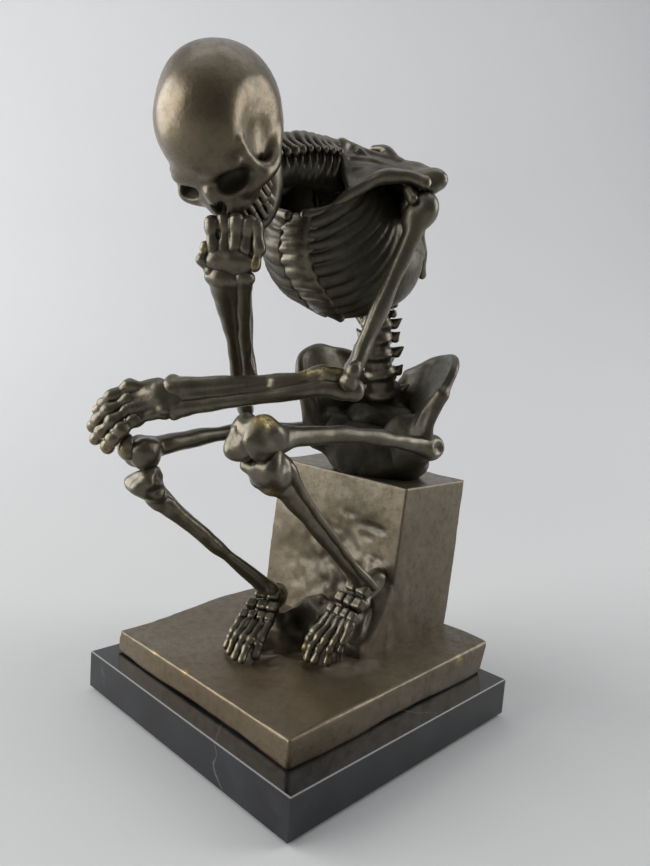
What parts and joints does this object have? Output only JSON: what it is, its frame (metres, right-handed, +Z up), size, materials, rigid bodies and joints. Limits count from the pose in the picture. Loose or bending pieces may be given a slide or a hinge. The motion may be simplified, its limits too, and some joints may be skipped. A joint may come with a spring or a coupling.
{
  "type": "skeleton statuette",
  "caption": "Seated bronze skeleton in a contemplating pose, chin on hand, on a cast block and plinth bolted to a square of polished black marble.",
  "frame": {"origin": "middle of the felt sheet's underside, which is the face the statuette rests on", "axes": "+Z up, the figure faces -Y, its left side is +X"},
  "size_m": [0.16, 0.1862, 0.3189],
  "materials": {
    "bronze_bone": "satin dark brown patina, worn to gold on the high points",
    "bronze_base": "rough cast brown patina, worn to gold on the edges",
    "marble": "polished black with faint white veins",
    "steel": "zinc plated",
    "felt": "short nap"
  },
  "bodies": {
    "root": {"clavicle_left": "bronze_bone", "clavicle_right": "bronze_bone", "felt_sheet": "felt", "femur_left": "bronze_bone", "femur_right": "bronze_bone", "fibula_left": "bronze_bone", "fibula_right": "bronze_bone", "fixing_bolt": "steel", "fixing_washer": "steel", "foot_left": "bronze_bone", "foot_right": "bronze_bone", "hand_palm_left": "bronze_bone", "hand_palm_right": "bronze_bone", "hip_bone_left": "bronze_bone", "hip_bone_right": "bronze_bone", "humerus_left": "bronze_bone", "humerus_right": "bronze_bone", "index_finger_left": "bronze_bone", "index_finger_right": "bronze_bone", "jaw": "bronze_bone", "little_finger_left": "bronze_bone", "little_finger_right": "bronze_bone", "lumbar_spine": "bronze_bone", "marble_base": "marble", "middle_finger_left": "bronze_bone", "middle_finger_right": "bronze_bone", "neck_vertebrae": "bronze_bone", "patella_left": "bronze_bone", "patella_right": "bronze_bone", "plinth": "bronze_base", "radius_left": "bronze_bone", "radius_right": "bronze_bone", "rib_cage_left": "bronze_bone", "rib_cage_right": "bronze_bone", "ring_finger_left": "bronze_bone", "ring_finger_right": "bronze_bone", "sacrum": "bronze_bone", "scapula_left": "bronze_bone", "scapula_right": "bronze_bone", "seat_block": "bronze_base", "skull": "bronze_bone", "sternum": "bronze_bone", "thoracic_spine": "bronze_bone", "thumb_left": "bronze_bone", "thumb_right": "bronze_bone", "tibia_left": "bronze_bone", "tibia_right": "bronze_bone", "ulna_left": "bronze_bone", "ulna_right": "bronze_bone"}
  },
  "joints": []
}
